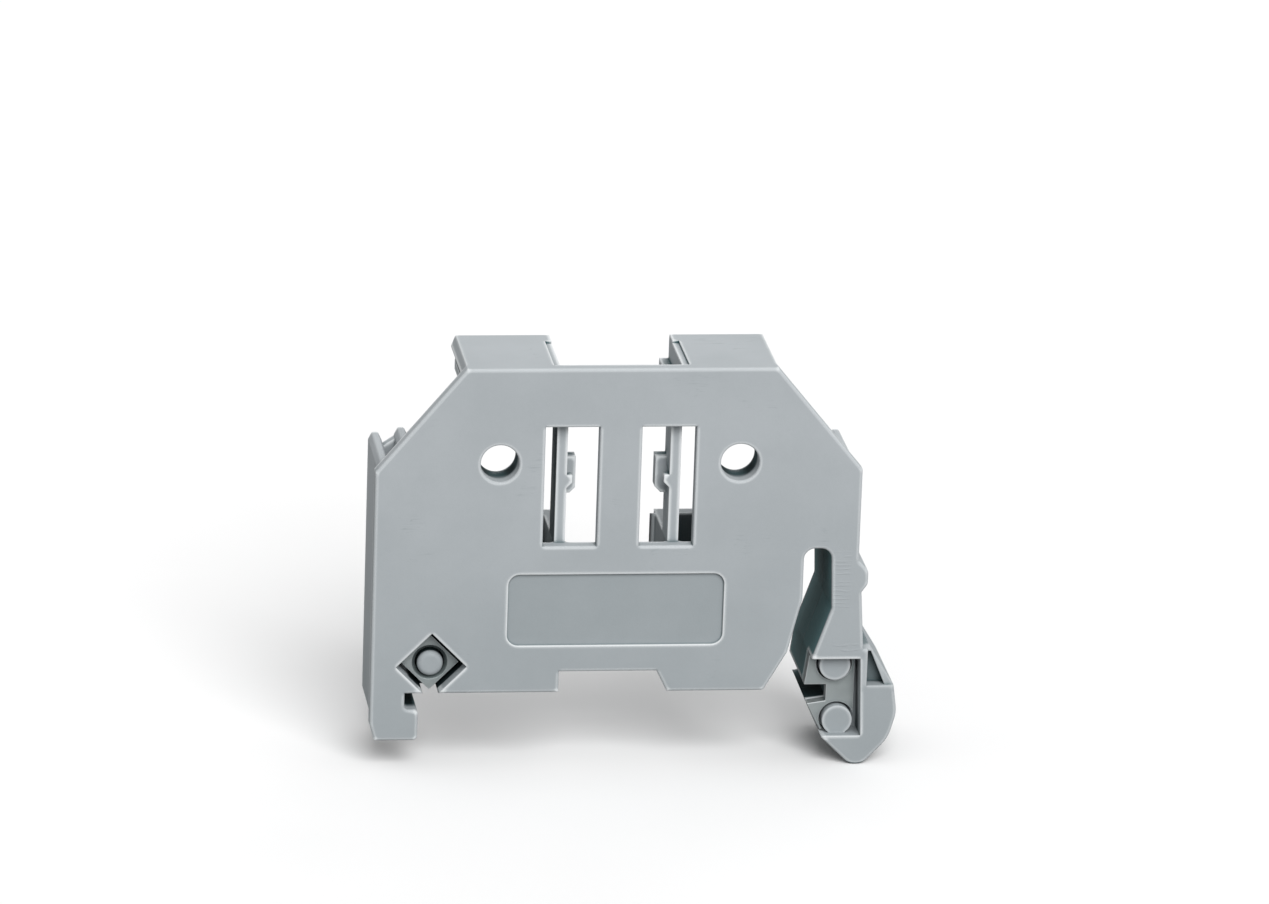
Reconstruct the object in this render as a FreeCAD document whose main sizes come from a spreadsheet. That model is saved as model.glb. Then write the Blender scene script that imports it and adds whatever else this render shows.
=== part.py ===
import FreeCAD, Part
import os
import Sketcher
from FreeCAD import Vector
from types import SimpleNamespace

# Screwless end stop for a 35 mm mounting rail, one moulding with two loose clamping plates.
# X runs across the rail, Y along it away from the front plate, and Z up from the rail's top face.
# The origin is the middle of the windows, in the front face, at the level of the rail's top.

SIZES = [
    # Overall
    ("body_depth", 10.0, "width of the end stop along the rail"),
    ("top_height", 28.0, "top edge over the rail"),
    ("half_width", 20.2, "plate's half width at the shoulders"),
    ("shoulder_height", 19.2, "where the slopes meet the sides"),
    ("top_half", 12.83, "half length of the top edge"),
    ("plate_thick", 1.2, "front plate"),
    ("wall_thick", 1.2, "walls behind the plate"),
    ("side_step", 0.3, "side walls set in from the plate's edge"),
    ("edge_round", 0.35, "small outer corners"),
    ("rim_round", 0.2, "plate's eased front edge"),
    # Rail seat and hook foot
    ("rail_width", 35.0, "rail across its lips"),
    ("rail_offset", 0.45, "rail's centre from the windows' centre"),
    ("rail_play", 0.3, "room at each edge of the rail"),
    ("lip_gap", 1.45, "height of the slots for the rail's lips"),
    ("hook_reach", 1.15, "hook under the rail's lip"),
    ("hook_drop", 4.1, "hook foot below the rail's top"),
    ("hook_taper_width", 0.4, "hook foot's slanted outer corner, across"),
    ("hook_taper_height", 1.4, "hook foot's slanted outer corner, up"),
    ("relief_left", 4.55, "relief in the seat, left end"),
    ("relief_right", 4.5, "relief in the seat, right end"),
    ("relief_slant", 0.9, "relief's slanted right end"),
    ("relief_height", 1.8, "relief over the seat"),
    # Gap beside the sprung arm
    ("seat_end", 12.6, "right end of the seat"),
    ("gap_low_across", 14.5, "body's lower corner at the gap, across"),
    ("gap_low_height", 3.3, "body's lower corner at the gap, up"),
    ("gap_inner", 15.6, "gap's side on the body"),
    ("gap_knee_height", 7.9, "where the body leaves the upright gap"),
    ("gap_width", 2.3, "gap at its top"),
    ("gap_crown", 0.35, "top of the gap below the deck"),
    ("gap_round", 0.95, "gap's round top corners"),
    ("knee_round", 0.6, "soft corners along the gap"),
    # Sprung arm and snap foot
    ("arm_knee_step", 0.2, "arm's inner side at the knee, outward of the gap's top"),
    ("arm_knee_height", 7.1, "arm's knee"),
    ("jaw_roof", 2.69, "roof of the clamping recess"),
    ("jaw_shoulder", 16.6, "jaw's inner side under the arm"),
    ("jaw_tip", 16.25, "upper jaw's tip"),
    ("catch_tip", 16.55, "snap nose under the rail's lip, across"),
    ("catch_slant", 0.24, "fall of the snap nose's catching face"),
    ("foot_throat_across", 17.7, "foot's lead-in, middle point across"),
    ("foot_throat_drop", 4.3, "foot's lead-in, middle point down"),
    ("toe_left", 20.1, "flat toe's left end"),
    ("toe_width", 1.1, "flat toe"),
    ("toe_drop", 6.62, "toe below the rail's top"),
    ("heel_low_across", 23.3, "lower end of the heel, across"),
    ("heel_low_drop", 4.4, "lower end of the heel, down"),
    ("heel_out", 23.95, "furthest point of the heel"),
    ("heel_drop", 2.1, "furthest point of the heel, down"),
    ("heel_top_across", 23.6, "upper end of the heel, across"),
    ("heel_top_height", 0.3, "upper end of the heel, up"),
    ("lever_top_across", 21.6, "top of the lever wall, across"),
    ("lever_top_height", 3.5, "top of the lever wall"),
    ("arm_outer_low", 20.9, "arm's outer side at the foot"),
    ("foot_round", 1.2, "round toe of the snap foot"),
    ("heel_round", 3.0, "round heel of the snap foot"),
    # Thumb bump on the arm
    ("bump_below_deck", 1.45, "bump's upper end below the deck"),
    ("bump_reach", 0.85, "how far the bump stands out"),
    ("bump_face", 1.2, "bump's outer face"),
    ("bump_under", 0.7, "bump's underside, from its outer face to its lower end"),
    ("bump_foot_step", 0.35, "arm's outer side under the bump"),
    ("bump_round", 0.7, "bump's round corners"),
    # Windows, holes and label panel
    ("window_inner", 1.75, "window's inner side from the centre"),
    ("window_width", 4.5, "window's width"),
    ("window_height", 10.3, "window's height"),
    ("hole_half", 9.95, "each hole from the centre"),
    ("hole_height", 19.88, "holes over the rail"),
    ("hole_radius", 1.6, "holes"),
    ("hole_lead", 0.16, "holes' eased front edge"),
    ("boss_wall", 1.2, "wall round each hole"),
    ("boss_depth", 3.15, "bosses' depth from the front"),
    ("label_half", 9.0, "label panel's half width"),
    ("label_bottom", 4.1, "label panel's lower edge"),
    ("label_height", 6.2, "label panel's height"),
    ("label_depth", 0.25, "label panel's depth"),
    ("label_round", 0.95, "label panel's corners"),
    # Lower body
    ("deck_height", 12.7, "top of the lower body"),
    ("cell_floor", 6.0, "floor of the cell over the hook foot"),
    ("cell_wall_across", 12.4, "wall between the outer cells, from the centre"),
    ("back_sill", 5.0, "back wall's sill between the uprights"),
    ("small_cell_floor", 4.8, "floor of the small cell beside the gap"),
    ("cell_round", 0.5, "cells' corners"),
    # Uprights behind the windows
    ("upright_inner", 4.27, "upright's inner side from the centre"),
    ("upright_thick", 0.89, "uprights"),
    ("upright_depth", 4.5, "uprights' rear from the front"),
    ("latch_bottom", 16.4, "latch's lower side"),
    ("latch_height", 3.1, "latch"),
    ("latch_reach", 0.95, "latch's reach inwards"),
    ("latch_thick", 1.4, "latch along the rail"),
    ("nub_bottom", 17.4, "small nub's lower side"),
    ("nub_height", 1.1, "small nub"),
    ("nub_reach", 0.46, "small nub's reach inwards"),
    ("nub_thick", 0.8, "small nub along the rail"),
    # Marker-tag rails on top
    ("tag_inner", 5.05, "tag rail's inner side from the centre"),
    ("tag_skin", 1.0, "tag rail's top flange"),
    ("tag_web", 0.85, "tag rail's webs"),
    ("tag_web_height", 1.1, "webs between flange and lips"),
    ("tag_web_inset", 0.6, "outer web set in from the flange's edge"),
    ("tag_lip", 0.85, "tag rail's lips"),
    ("tag_flare", 0.35, "flange's outer end, slanted outwards at its lower edge"),
    ("tag_ease", 0.25, "eased rear edge of the flanges"),
    ("tag_ledge", 0.55, "ledge along the flange's inner end"),
    ("tag_ledge_drop", 0.2, "ledge below the flange's top"),
    ("tag_ledge_end", 2.0, "ledge's end from the rear"),
    # Marker slots at the shoulders
    ("slot_wall", 1.1, "walls of the marker slots"),
    ("slot_width", 1.05, "marker slots"),
    ("slot_floor", 14.5, "floor of the marker slots"),
    ("slot_outer_top", 19.6, "outer wall's ridge"),
    ("slot_inner_rise", 0.4, "inner wall's ridge over the outer one"),
    ("ridge_drop", 0.6, "slanted flanks of the ridges"),
    ("ridge_flat", 0.5, "ridges' tops"),
    ("ridge_round", 0.22, "ridges' soft edges"),
    ("stop_drop", 1.0, "stop at the slot's rear end, below the outer ridge"),
    ("stop_rise", 0.7, "stop's rise to the inner wall"),
    ("stop_thick", 1.0, "stop"),
    # Clamping plates, their pockets and pegs
    ("clamp_inset", 1.4, "clamping plates behind the front face"),
    ("clamp_thick", 1.0, "clamping plates"),
    ("rock_gap", 0.25, "room behind the clamping plates to rock"),
    ("square_across", -15.2, "square plate's centre, across"),
    ("square_height", 2.3, "square plate's centre over the rail"),
    ("square_half", 2.4, "square plate from centre to corner"),
    ("pocket_play", 0.55, "pocket's corners beyond the plate's"),
    ("square_peg_radius", 1.09, "domed peg"),
    ("square_peg_play", 0.12, "room round the domed peg"),
    ("square_ring", 0.28, "countersink round the plate's hole"),
    ("peg_stand", 0.55, "pegs in front of the clamping plates"),
    ("peg_dome", 0.45, "pegs' rounded ends"),
    ("recess_right_top", 20.7, "recess's right wall at its roof"),
    ("recess_right_low", 20.95, "recess's right wall at its ledge"),
    ("recess_drop", 4.1, "recess's ledge below the rail's top"),
    ("jaw_play", 0.15, "room round the notched plate"),
    ("jaw_right", 20.45, "notched plate's right side"),
    ("upper_peg_across", 18.7, "upper peg"),
    ("upper_peg_height", 1.85, "upper peg over the rail"),
    ("upper_peg_radius", 1.3, "upper peg"),
    ("lower_peg_across", 19.05, "lower peg"),
    ("lower_peg_drop", 3.0, "lower peg below the rail's top"),
    ("lower_peg_radius", 1.26, "lower peg"),
    ("peg_play", 0.2, "room round the two pegs"),
    # Pockets of the snap foot and hook foot
    ("lever_wall", 0.75, "wall beside the screwdriver pocket"),
    ("lever_rim", 0.25, "wall over the screwdriver pocket"),
    ("lever_side", 0.33, "wall between the recess and the screwdriver pocket"),
    ("lever_step", 0.4, "wall beside the screwdriver pocket, behind the front face"),
    ("lever_depth", 1.4, "screwdriver pocket's depth"),
    ("core_wall", 1.2, "walls left round the rear cores"),
    ("toe_wall", 1.7, "wall left over the toe's underside"),
    ("heel_wall", 0.6, "wall left over the heel's low corner"),
    ("core_round", 0.4, "rear cores' corners"),
]


class Length:
    """A length with the sheet expression that gives it."""

    def __init__(self, value, text):
        self.value = value
        self.text = text

    def __add__(self, other):
        other = length(other)
        return Length(self.value + other.value, f"({self.text} + {other.text})")

    def __sub__(self, other):
        other = length(other)
        return Length(self.value - other.value, f"({self.text} - {other.text})")

    def __mul__(self, factor):
        return Length(self.value * factor, f"({self.text} * {factor})")

    def __truediv__(self, divisor):
        return Length(self.value / divisor, f"({self.text} / {divisor})")

    def __neg__(self):
        return Length(-self.value, f"(-{self.text})")


def length(value):
    """The value as a Length, so that plain numbers can stand in an expression."""
    return value if isinstance(value, Length) else Length(value, str(value))


def make_sheet(doc):
    """The spreadsheet of driving dimensions, and a namespace that names its cells."""
    sheet = doc.addObject("Spreadsheet::Sheet", "Sizes")
    names = SimpleNamespace()
    for row, (alias, value, meaning) in enumerate(SIZES, start=1):
        sheet.set(f"A{row}", alias)
        sheet.set(f"B{row}", str(value))
        sheet.setAlias(f"B{row}", alias)
        sheet.set(f"C{row}", meaning)
        setattr(names, alias, Length(value, f"Sizes.{alias}"))
    doc.recompute()
    return names


ZERO = length(0)


class Builder:
    """Adds sketches and features to one body, each bound to the sheet."""

    def __init__(self, doc, label):
        self.doc = doc
        self.body = doc.addObject("PartDesign::Body", label)
        self.body.Label = label

    def sketch(self, name, offset=ZERO, role="XZ_Plane"):
        """A sketch on an origin plane, moved along the depth or height by offset."""
        plane = [f for f in self.body.Origin.OriginFeatures if f.Role == role][0]
        sketch = self.body.newObject("Sketcher::SketchObject", name)
        sketch.AttachmentSupport = [(plane, "")]
        sketch.MapMode = "FlatFace"
        along_normal = -offset if role == "XZ_Plane" else offset
        sketch.setExpression("AttachmentOffset.Base.z", along_normal.text)
        return sketch

    def outline(self, sketch, points):
        """A closed outline through the points, each held by its two sizes."""
        first = sketch.GeometryCount
        count = len(points)
        corners = [Vector(length(x).value, length(y).value, 0) for x, y in points]
        for index in range(count):
            line = Part.LineSegment(corners[index], corners[(index + 1) % count])
            sketch.addGeometry(line, False)
        for index in range(count):
            following = first + (index + 1) % count
            sketch.addConstraint(Sketcher.Constraint("Coincident", first + index, 2, following, 1))
        for index, point in enumerate(points):
            for kind, size in zip(("DistanceX", "DistanceY"), point):
                self.hold(sketch, Sketcher.Constraint(kind, -1, 1, first + index, 1, length(size).value), size)
        return sketch

    def box(self, sketch, left, bottom, right, top):
        """A closed rectangle."""
        return self.outline(sketch, [(left, bottom), (right, bottom), (right, top), (left, top)])

    def circle(self, sketch, across, up, radius):
        """A circle held by its centre and radius."""
        index = sketch.GeometryCount
        centre = Vector(across.value, up.value, 0)
        sketch.addGeometry(Part.Circle(centre, Vector(0, 0, 1), radius.value), False)
        self.hold(sketch, Sketcher.Constraint("DistanceX", -1, 1, index, 3, across.value), across)
        self.hold(sketch, Sketcher.Constraint("DistanceY", -1, 1, index, 3, up.value), up)
        self.hold(sketch, Sketcher.Constraint("Radius", index, radius.value), radius)
        return sketch

    def hold(self, sketch, constraint, size):
        """Adds a constraint and binds it to its size."""
        number = sketch.addConstraint(constraint)
        sketch.setExpression(f"Constraints[{number}]", length(size).text)

    def pad(self, name, sketch, size, to_back=True):
        """Adds material behind the sketch, or in front of it."""
        pad = self.body.newObject("PartDesign::Pad", name)
        pad.Profile = sketch
        pad.setExpression("Length", size.text)
        pad.Reversed = to_back
        return self.finish(pad, grows=True)

    def pocket(self, name, sketch, size, away=False):
        """Removes material behind the sketch, or in front of it where it is turned away."""
        pocket = self.body.newObject("PartDesign::Pocket", name)
        pocket.Profile = sketch
        pocket.setExpression("Length", size.text)
        pocket.Reversed = away
        return self.finish(pocket, grows=False)

    def finish(self, feature, grows):
        """Recomputes, and stops if the feature failed or changed nothing."""
        before = self.volume()
        self.doc.recompute()
        after = feature.Shape.Volume
        if not feature.isValid() or (after <= before if grows else after >= before):
            raise RuntimeError(f"{feature.Name} changed nothing: {before:.3f} to {after:.3f}")
        self.last = feature
        return feature

    def volume(self):
        """The body's volume so far."""
        return self.last.Shape.Volume if getattr(self, "last", None) else 0.0

    def edges_along(self, direction, places, low, high):
        """Names of the straight edges along a direction, at places across it and between two ends."""
        across = [axis for axis in range(3) if axis != direction]
        names = []
        for number, edge in enumerate(self.last.Shape.Edges, start=1):
            if len(edge.Vertexes) < 2 or edge.Curve.TypeId != "Part::GeomLine":
                continue
            start, end = edge.Vertexes[0].Point, edge.Vertexes[-1].Point
            if abs(abs(start[direction] - end[direction]) - edge.Length) > TINY:
                continue
            if min(start[direction], end[direction]) < low.value - TINY:
                continue
            if max(start[direction], end[direction]) > high.value + TINY:
                continue
            for first, second in places:
                offset = (start[across[0]] - first.value, start[across[1]] - second.value)
                if abs(offset[0]) < TINY and abs(offset[1]) < TINY:
                    names.append(f"Edge{number}")
        return names

    def round(self, name, radius, places, low, high, direction=1):
        """Rounds the straight edges that stand at the given places."""
        edges = self.edges_along(direction, places, low, high)
        if len(edges) < len(places):
            raise RuntimeError(f"{name} found {len(edges)} edges for {len(places)} places")
        return self.round_edges(name, radius, edges)

    def round_edges(self, name, radius, edges, kind="Fillet"):
        """Rounds or chamfers the named edges of the last feature."""
        feature = self.body.newObject(f"PartDesign::{kind}", name)
        feature.Base = (self.last, edges)
        feature.setExpression("Radius" if kind == "Fillet" else "Size", radius.text)
        self.doc.recompute()
        if not feature.isValid():
            raise RuntimeError(f"{name} failed")
        self.last = feature
        return feature

    def circle_edges(self, places, radius, depth):
        """Names of the full circles of a radius, centred at the places and lying at a depth."""
        names = []
        for number, edge in enumerate(self.last.Shape.Edges, start=1):
            if edge.Curve.TypeId != "Part::GeomCircle" or abs(edge.Curve.Radius - radius.value) > TINY:
                continue
            centre = edge.Curve.Center
            for across, up in places:
                wanted = Vector(across.value, depth.value, up.value)
                if centre.distanceToPoint(wanted) < TINY:
                    names.append(f"Edge{number}")
        return names

    def front_edges(self, left, bottom, right, top):
        """Names of the edges that lie in the front face, within a rectangle."""
        names = []
        for number, edge in enumerate(self.last.Shape.Edges, start=1):
            box = edge.BoundBox
            across = left.value - TINY < box.XMin and box.XMax < right.value + TINY
            up = bottom.value - TINY < box.ZMin and box.ZMax < top.value + TINY
            if box.YMax < TINY and across and up:
                names.append(f"Edge{number}")
        return names


TINY = 0.001


def mirrored(points):
    """The same points on the other side of the centre."""
    return [(-across, up) for across, up in points]


def rail_side(s):
    """The places that follow from the rail: its two lip slots."""
    half = s.rail_width / 2 + s.rail_play
    return s.rail_offset - half, s.rail_offset + half


def lower_outline(s, left_side):
    """The outline below the deck: hook foot, seat, gap, arm and snap foot, from left to right."""
    lip_left, lip_right = rail_side(s)
    hook_inner = lip_left + s.hook_reach
    gap_outer = s.gap_inner + s.gap_width
    gap_top = s.deck_height - s.gap_crown
    return [
        (left_side, s.hook_taper_height - s.hook_drop),
        (left_side + s.hook_taper_width, -s.hook_drop),
        (hook_inner, -s.hook_drop),
        (hook_inner, -s.lip_gap),
        (lip_left, -s.lip_gap),
        (lip_left, ZERO),
        (-s.relief_left, ZERO),
        (-s.relief_left, s.relief_height),
        (s.relief_right - s.relief_slant, s.relief_height),
        (s.relief_right, ZERO),
        (s.seat_end, ZERO),
        (s.gap_low_across, s.gap_low_height),
        (s.gap_inner, s.gap_knee_height),
        (s.gap_inner, gap_top),
        (gap_outer, gap_top),
        (gap_outer + s.arm_knee_step, s.arm_knee_height),
        (s.jaw_shoulder, s.jaw_roof),
        (s.jaw_tip, ZERO),
        (lip_right, ZERO),
        (lip_right, -s.lip_gap),
        (s.catch_tip, -s.lip_gap - s.catch_slant),
        (s.foot_throat_across, -s.foot_throat_drop),
        (s.toe_left, -s.toe_drop),
        (s.toe_left + s.toe_width, -s.toe_drop),
        (s.heel_low_across, -s.heel_low_drop),
        (s.heel_out, -s.heel_drop),
        (s.heel_top_across, s.heel_top_height),
        (s.lever_top_across, s.lever_top_height),
        (s.arm_outer_low, s.lever_top_height),
    ]


def bump_levels(s):
    """The bump's upper end and the two corners of its outer face, downwards."""
    top = s.deck_height - s.bump_below_deck
    return top, top - s.bump_reach, top - s.bump_reach - s.bump_face


def arm_outline(s, right_side):
    """The arm's outer side with its thumb bump, upwards from the snap foot."""
    top, upper, lower = bump_levels(s)
    return [
        (right_side + s.bump_foot_step, lower - s.bump_under),
        (right_side + s.bump_reach, lower),
        (right_side + s.bump_reach, upper),
        (right_side, top),
    ]


def add_plate(build, s):
    """The front plate, with the whole outline."""
    shoulders = [
        (s.half_width, s.shoulder_height),
        (s.top_half, s.top_height),
        (-s.top_half, s.top_height),
        (-s.half_width, s.shoulder_height),
    ]
    points = lower_outline(s, -s.half_width) + arm_outline(s, s.half_width) + shoulders
    build.pad("front_plate", build.outline(build.sketch("plate_outline"), points), s.plate_thick)


def add_lower_body(build, s):
    """The part behind the plate and below the deck."""
    side = s.half_width - s.side_step
    points = lower_outline(s, -side) + arm_outline(s, s.half_width)
    points += [(side, bump_levels(s)[0]), (side, s.deck_height), (-side, s.deck_height)]
    sketch = build.outline(build.sketch("lower_outline", s.plate_thick), points)
    build.pad("lower_body", sketch, s.body_depth - s.plate_thick)


def add_marker_slots(build, s):
    """The double side walls over the deck, with a slot for marker strips between them."""
    side = s.half_width - s.side_step
    slot_outer = side - s.slot_wall
    slot_inner = slot_outer - s.slot_width
    inner = slot_inner - s.slot_wall
    inner_top = s.slot_outer_top + s.slot_inner_rise
    outer_ridge = side - s.slot_wall / 2
    inner_ridge = inner + s.slot_wall / 2
    points = [
        (inner, s.deck_height),
        (side, s.deck_height),
        (side, s.slot_outer_top - s.ridge_drop),
        (outer_ridge + s.ridge_flat / 2, s.slot_outer_top),
        (outer_ridge - s.ridge_flat / 2, s.slot_outer_top),
        (slot_outer, s.slot_outer_top - s.ridge_drop),
        (slot_outer, s.slot_floor),
        (slot_inner, s.slot_floor),
        (slot_inner, inner_top - s.ridge_drop),
        (inner_ridge + s.ridge_flat / 2, inner_top),
        (inner_ridge - s.ridge_flat / 2, inner_top),
        (inner, inner_top - s.ridge_drop),
    ]
    sketch = build.sketch("marker_slot_profile", s.plate_thick)
    build.outline(sketch, points)
    build.outline(sketch, mirrored(points))
    build.pad("marker_slots", sketch, s.body_depth - s.plate_thick)
    ridges = points[3:5] + points[9:11]
    build.round("ridge_edges", s.ridge_round, ridges + mirrored(ridges), s.plate_thick, s.body_depth)
    stop_top = s.slot_outer_top - s.stop_drop
    stop = [
        (slot_outer, s.slot_floor),
        (slot_outer, stop_top),
        (slot_inner, stop_top + s.stop_rise),
        (slot_inner, s.slot_floor),
    ]
    sketch = build.sketch("slot_stop_faces", s.body_depth - s.stop_thick)
    build.outline(sketch, stop)
    build.outline(sketch, mirrored(stop))
    build.pad("slot_stops", sketch, s.stop_thick)


def add_tag_rails(build, s):
    """The two rails on top that marker tags clip onto."""
    flange_low = s.top_height - s.tag_skin
    web_low = flange_low - s.tag_web_height
    lip_low = web_low - s.tag_lip
    inner_web = s.tag_inner + s.tag_web
    outer_web = s.top_half - s.tag_web_inset
    points = [
        (s.upright_inner, lip_low),
        (inner_web, lip_low),
        (inner_web, flange_low),
        (outer_web - s.tag_web, flange_low),
        (outer_web - s.tag_web, lip_low),
        (s.top_half, lip_low),
        (s.top_half, web_low),
        (outer_web, web_low),
        (outer_web, flange_low),
        (s.top_half + s.tag_flare, flange_low),
        (s.top_half, s.top_height),
        (s.tag_inner, s.top_height),
        (s.tag_inner, web_low),
        (s.upright_inner, web_low),
    ]
    sketch = build.sketch("tag_rail_profile", s.plate_thick)
    build.outline(sketch, points)
    build.outline(sketch, mirrored(points))
    build.pad("tag_rails", sketch, s.body_depth - s.plate_thick)
    rear = build.edges_along(0, [(s.body_depth, s.top_height)], -s.top_half, s.top_half)
    build.round_edges("flange_ease", s.tag_ease, rear, "Chamfer")
    sketch = build.sketch("flange_ledge_faces", s.top_height, "XY_Plane")
    end = s.body_depth - s.tag_ledge_end
    build.box(sketch, s.tag_inner, s.plate_thick, s.tag_inner + s.tag_ledge, end)
    build.box(sketch, -s.tag_inner - s.tag_ledge, s.plate_thick, -s.tag_inner, end)
    build.pocket("flange_ledges", sketch, s.tag_ledge_drop)


def add_uprights(build, s):
    """The uprights behind the windows, with the latches that hold a marker carrier."""
    outer = s.upright_inner + s.upright_thick
    top = s.top_height - s.tag_skin - s.tag_web_height - s.tag_lip
    sketch = build.sketch("upright_faces", s.plate_thick)
    build.box(sketch, s.upright_inner, s.deck_height, outer, top)
    build.box(sketch, -outer, s.deck_height, -s.upright_inner, top)
    build.pad("uprights", sketch, s.upright_depth - s.plate_thick)
    latch_tip = s.upright_inner - s.latch_reach
    latch_top = s.latch_bottom + s.latch_height
    latch = [
        (s.upright_inner, s.latch_bottom),
        (s.upright_inner, latch_top),
        (latch_tip, latch_top),
        (latch_tip, s.latch_bottom + s.latch_reach / 2),
        (s.upright_inner - s.latch_reach / 2, s.latch_bottom),
    ]
    sketch = build.sketch("latch_faces", s.upright_depth - s.latch_thick)
    build.outline(sketch, latch)
    build.outline(sketch, mirrored(latch))
    build.pad("latches", sketch, s.latch_thick)
    nub_tip = s.upright_inner - s.nub_reach
    nub_top = s.nub_bottom + s.nub_height
    nub = [
        (s.upright_inner, s.nub_bottom),
        (s.upright_inner, nub_top),
        (nub_tip, nub_top),
        (nub_tip, s.nub_bottom + s.nub_reach),
    ]
    sketch = build.sketch("nub_faces", s.plate_thick)
    build.outline(sketch, nub)
    build.outline(sketch, mirrored(nub))
    build.pad("nubs", sketch, s.nub_thick)


def add_holes(build, s):
    """The two round holes with their bosses."""
    sketch = build.sketch("boss_faces", s.plate_thick)
    for across in (-s.hole_half, s.hole_half):
        build.circle(sketch, across, s.hole_height, s.hole_radius + s.boss_wall)
    build.pad("bosses", sketch, s.boss_depth - s.plate_thick)
    sketch = build.sketch("hole_faces")
    for across in (-s.hole_half, s.hole_half):
        build.circle(sketch, across, s.hole_height, s.hole_radius)
    build.pocket("holes", sketch, s.boss_depth)
    centres = [(across, s.hole_height) for across in (-s.hole_half, s.hole_half)]
    build.round_edges("hole_leads", s.hole_lead, build.circle_edges(centres, s.hole_radius, ZERO))


def cut_windows(build, s):
    """The two windows in the plate."""
    window_outer = s.window_inner + s.window_width
    window_top = s.deck_height + s.window_height
    sketch = build.sketch("window_faces")
    build.box(sketch, s.window_inner, s.deck_height, window_outer, window_top)
    build.box(sketch, -window_outer, s.deck_height, -s.window_inner, window_top)
    build.pocket("windows", sketch, s.plate_thick)
    rims = build.front_edges(-window_outer, s.deck_height, window_outer, window_top)
    build.round_edges("window_rims", s.hole_lead, rims)


def cut_label_panel(build, s):
    """The shallow bare panel in the front face."""
    label_top = s.label_bottom + s.label_height
    sketch = build.box(build.sketch("label_face"), -s.label_half, s.label_bottom, s.label_half, label_top)
    build.pocket("label_panel", sketch, s.label_depth)
    corners = [(side, level) for side in (-s.label_half, s.label_half) for level in (s.label_bottom, label_top)]
    build.round("label_corners", s.label_round, corners, ZERO, s.label_depth)


def cut_cells(build, s):
    """The cells of the lower body, cut downwards from the deck."""
    front = s.plate_thick
    back = s.body_depth - s.wall_thick
    side = s.half_width - s.side_step - s.wall_thick
    upright_outer = s.upright_inner + s.upright_thick
    deep = s.deck_height
    sketch = build.sketch("through_cells", s.deck_height, "XY_Plane")
    build.box(sketch, -s.cell_wall_across, front, -upright_outer, back)
    build.box(sketch, -s.upright_inner, front, s.upright_inner, back)
    build.box(sketch, upright_outer, front, s.seat_end - s.wall_thick, back)
    build.pocket("cells", sketch, deep)
    sides = [-s.cell_wall_across, -upright_outer, -s.upright_inner]
    sides += [s.upright_inner, upright_outer, s.seat_end - s.wall_thick]
    corners = [(across, depth) for across in sides for depth in (front, back)]
    build.round("cell_corners", s.cell_round, corners, ZERO, s.deck_height, direction=2)
    sketch = build.sketch("hook_cell_face", s.deck_height, "XY_Plane")
    build.box(sketch, -side, front, -s.cell_wall_across - s.wall_thick, back)
    build.pocket("hook_cell", sketch, s.deck_height - s.cell_floor)
    sketch = build.sketch("small_cell_face", s.deck_height, "XY_Plane")
    build.box(sketch, s.seat_end, front, s.gap_inner - s.wall_thick, back)
    build.pocket("small_cell", sketch, s.deck_height - s.small_cell_floor)
    sketch = build.sketch("carrier_way", s.deck_height, "XY_Plane")
    build.box(sketch, -s.upright_inner, back, s.upright_inner, s.body_depth)
    build.pocket("carrier_opening", sketch, s.deck_height - s.back_sill)


def cut_clamp_pockets(build, s):
    """The diamond pocket and the recess of the snap foot, with their pegs."""
    deep = s.clamp_inset + s.clamp_thick + s.rock_gap
    half = s.square_half + s.pocket_play
    diamond = [
        (s.square_across - half, s.square_height),
        (s.square_across, s.square_height - half),
        (s.square_across + half, s.square_height),
        (s.square_across, s.square_height + half),
    ]
    build.pocket("square_pocket", build.outline(build.sketch("diamond"), diamond), deep)
    ledge = -s.recess_drop
    recess = [
        (s.gap_inner, ledge),
        (s.recess_right_low, ledge),
        (s.recess_right_top, s.jaw_roof),
        (s.gap_inner, s.jaw_roof),
    ]
    build.pocket("jaw_recess", build.outline(build.sketch("recess_face"), recess), deep)
    peg_length = s.rock_gap + s.clamp_thick + s.peg_stand
    front = deep - peg_length
    pegs = [
        ("square_peg", s.square_across, s.square_height, s.square_peg_radius),
        ("upper_peg", s.upper_peg_across, s.upper_peg_height, s.upper_peg_radius),
        ("lower_peg", s.lower_peg_across, -s.lower_peg_drop, s.lower_peg_radius),
    ]
    for name, across, up, radius in pegs:
        sketch = build.circle(build.sketch(f"{name}_face", deep), across, up, radius)
        build.pad(name, sketch, peg_length, to_back=False)
    dome = build.circle_edges([(s.square_across, s.square_height)], s.square_peg_radius, front)
    build.round_edges("peg_dome_round", s.peg_dome, dome)


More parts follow.
